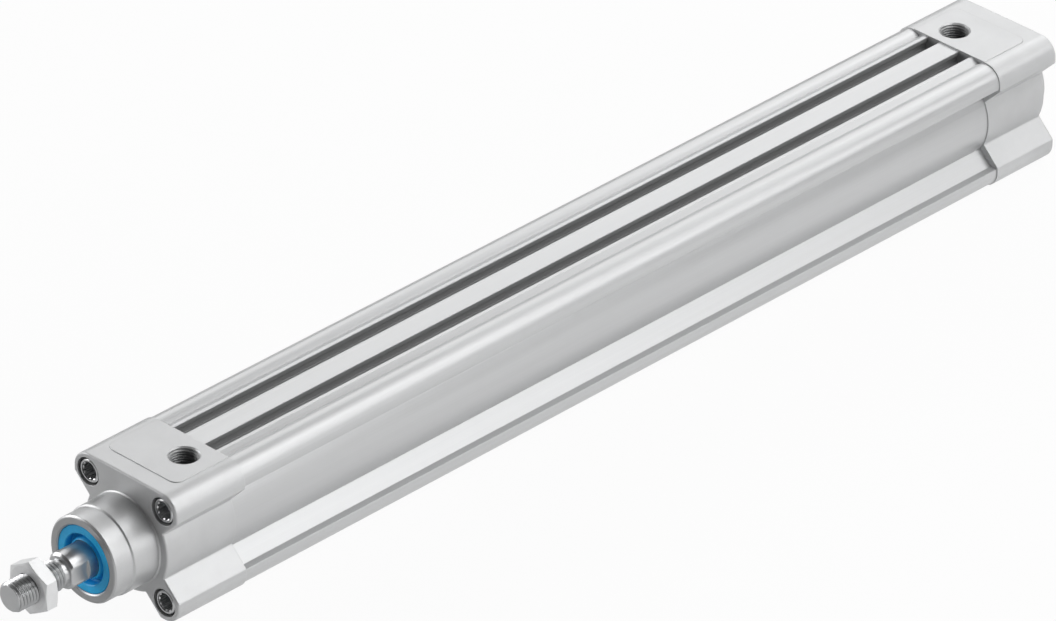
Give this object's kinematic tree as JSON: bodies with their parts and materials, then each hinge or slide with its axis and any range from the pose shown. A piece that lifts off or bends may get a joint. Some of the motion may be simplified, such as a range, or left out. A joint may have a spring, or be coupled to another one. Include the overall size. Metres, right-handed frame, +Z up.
{
  "type": "pneumatic cylinder",
  "caption": "Double-acting profile-barrel air cylinder with waisted caps, sensor slots, locating collars, blue rod wiper and a threaded rod with a lock nut.",
  "frame": {"origin": "centre of the bearing cap's mounting face, on the piston axis at the root of the front locating collar", "axes": "+X along the piston rod, out of the cylinder; +Z up through the air ports and sensor slots; +Y completes a right-handed frame"},
  "size_m": [0.446, 0.045, 0.0452],
  "materials": {
    "anodised_profile": "clear anodised, fine lengthwise drawing lines",
    "cast_cap": "die cast and blasted, satin",
    "screw_steel": "zinc plated",
    "blue_seal": "satin polyurethane",
    "black_seal": "matte",
    "bearing_metal": "rolled",
    "rod_steel": "ground and polished",
    "nut_zinc": "bright zinc plated",
    "piston_plastic": "moulded",
    "magnet": "matte",
    "guide_plastic": "moulded",
    "boss_aluminium": "turned"
  },
  "bodies": {
    "housing": {"barrel_profile": "anodised_profile", "bearing_cap": "cast_cap", "end_cap": "cast_cap", "bearing_cap_screws": "screw_steel", "end_cap_screws": "screw_steel", "rod_wiper_seal": "blue_seal", "rod_bush": "bearing_metal", "bearing_cap_o_ring": "black_seal", "end_cap_o_ring": "black_seal", "front_cushion_seal": "blue_seal", "rear_cushion_seal": "blue_seal", "front_buffer_ring": "black_seal", "rear_buffer_ring": "black_seal"},
    "piston_guide": {"piston_guide_band": "guide_plastic", "front_piston_seal": "blue_seal", "rear_piston_seal": "blue_seal"},
    "rod_assembly": {"piston_rod": "rod_steel", "piston_front_half": "piston_plastic", "piston_rear_half": "piston_plastic", "piston_o_ring": "black_seal", "piston_magnet": "magnet", "front_cushion_boss": "boss_aluminium", "rear_cushion_boss": "boss_aluminium", "piston_nut": "nut_zinc"},
    "lock_nut": {"lock_nut": "nut_zinc"}
  },
  "joints": [
    {"name": "rod_slide", "type": "slide", "parent": "housing", "child": "piston_guide", "axis": [1, 0, 0], "range_m": [0, 0.3]},
    {"name": "rod_turn", "type": "hinge", "parent": "piston_guide", "child": "rod_assembly", "pos_m": [0, 0, 0], "axis": [1, 0, 0], "continuous": true},
    {"name": "lock_nut_travel", "type": "slide", "parent": "rod_assembly", "child": "lock_nut", "axis": [1, 0, 0], "range_m": [-0.0082, 0.0075]}
  ]
}
